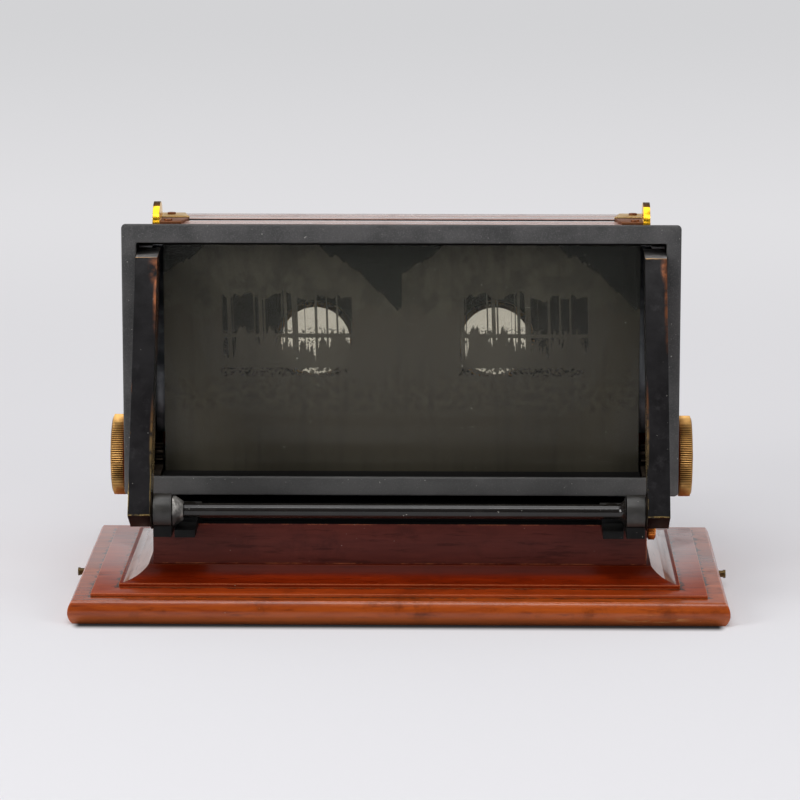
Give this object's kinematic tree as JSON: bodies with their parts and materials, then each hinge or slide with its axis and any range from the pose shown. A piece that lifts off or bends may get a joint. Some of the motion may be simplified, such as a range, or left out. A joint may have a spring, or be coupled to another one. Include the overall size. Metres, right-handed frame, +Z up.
{
  "type": "stereoscope",
  "caption": "Table stereoscope for glass slides: a tilting wooden head with focusing eyepieces on leaning arms over a moulded plinth.",
  "frame": {"origin": "centre of the plinth's underside, which the object stands on", "axes": "+Z up; +Y from the slide end towards the eyepieces; +X to the right for a person at the slide end"},
  "size_m": [0.2328, 0.1711, 0.1382],
  "materials": {
    "mahogany": "French polished mahogany",
    "dark_wood": "dark brown-purple polished wood",
    "black_wood": "matt black stained",
    "steel": "plain",
    "brass": "lacquered",
    "wheel_brass": "milled edge, toned",
    "polished_brass": "polished",
    "aged_brass": "dark with age",
    "black_lacquer": "black lacquered, worn to the metal on its edges",
    "nickel": "bright nickel",
    "black_metal": "matt black",
    "black_leather": "fine grained black covering",
    "black_cloth": "black baize",
    "ebonite": "polished ebonite",
    "glass": "clear",
    "picture_glass": "glass with a dark transparency"
  },
  "bodies": {
    "base": {"plinth_slab": "mahogany", "plinth_panel": "mahogany", "cove_block": "mahogany", "pedestal": "dark_wood", "plinth_screws": "steel", "catch_pin_left": "aged_brass", "catch_pin_right": "aged_brass", "pedestal_cloth": "black_cloth", "rest_strip": "black_cloth", "lug_left": "black_lacquer", "lug_right": "black_lacquer", "lug_screws": "black_lacquer"},
    "clamp": {"clamp_knob": "brass"},
    "head": {"tie_rod": "black_lacquer", "cone_nut": "black_lacquer", "thrust_washers": "brass", "arm_left": "black_lacquer", "arm_right": "black_lacquer", "arm_screws": "brass", "bezel": "black_leather", "box_side_left": "mahogany", "box_side_right": "mahogany", "floor_board": "mahogany", "slide_sill": "black_wood", "top_board_front": "mahogany", "top_board_back": "mahogany", "slot_ends": "mahogany", "slot_guide_left": "polished_brass", "slot_guide_right": "polished_brass", "guide_screws": "aged_brass", "side_spring_left": "nickel", "side_spring_right": "nickel", "mask_board": "black_metal", "spindle_bushes": "brass", "back_rail": "mahogany", "hood_side_left": "mahogany", "hood_side_right": "mahogany", "hood_top": "mahogany"},
    "carriage": {"carriage_top": "mahogany", "carriage_floor": "mahogany", "carriage_side_left": "mahogany", "carriage_side_right": "mahogany", "lens_board": "mahogany", "septum": "black_wood", "rack_left": "black_metal", "rack_right": "black_metal", "rack_screws": "aged_brass", "eyepiece_tube_left": "brass", "eyepiece_tube_right": "brass", "lens_left": "glass", "lens_right": "glass", "lens_rings": "black_metal", "eyecup_left": "ebonite", "eyecup_right": "ebonite", "flange_screws": "aged_brass"},
    "wheels": {"focus_spindle": "black_metal", "focus_wheel_left": "wheel_brass", "focus_wheel_right": "wheel_brass"},
    "slide": {"slide_picture": "picture_glass", "slide_cover": "picture_glass"}
  },
  "joints": [
    {"name": "head_tilt", "type": "hinge", "parent": "base", "child": "head", "pos_m": [0, -0.0472, 0.0373], "axis": [1, 0, 0], "range_deg": [0, 40]},
    {"name": "focus", "type": "slide", "parent": "head", "child": "carriage", "axis": [0, 1, 0], "range_m": [0, 0.013]},
    {"name": "wheel_turn", "type": "hinge", "parent": "head", "child": "wheels", "pos_m": [0, 0.012, 0.0452], "axis": [1, 0, 0], "range_deg": [0, 215]},
    {"name": "slide_lift", "type": "slide", "parent": "head", "child": "slide", "axis": [0, 0, 1], "range_m": [0, 0.095]},
    {"name": "clamp_turn", "type": "hinge", "parent": "base", "child": "clamp", "pos_m": [0.0864, -0.0265, 0.0276], "axis": [1, 0, 0], "range_deg": [0, 180]}
  ],
  "couplings": [
    {"joint": "wheel_turn", "follows": "focus", "rad_per_m": 285.71}
  ]
}
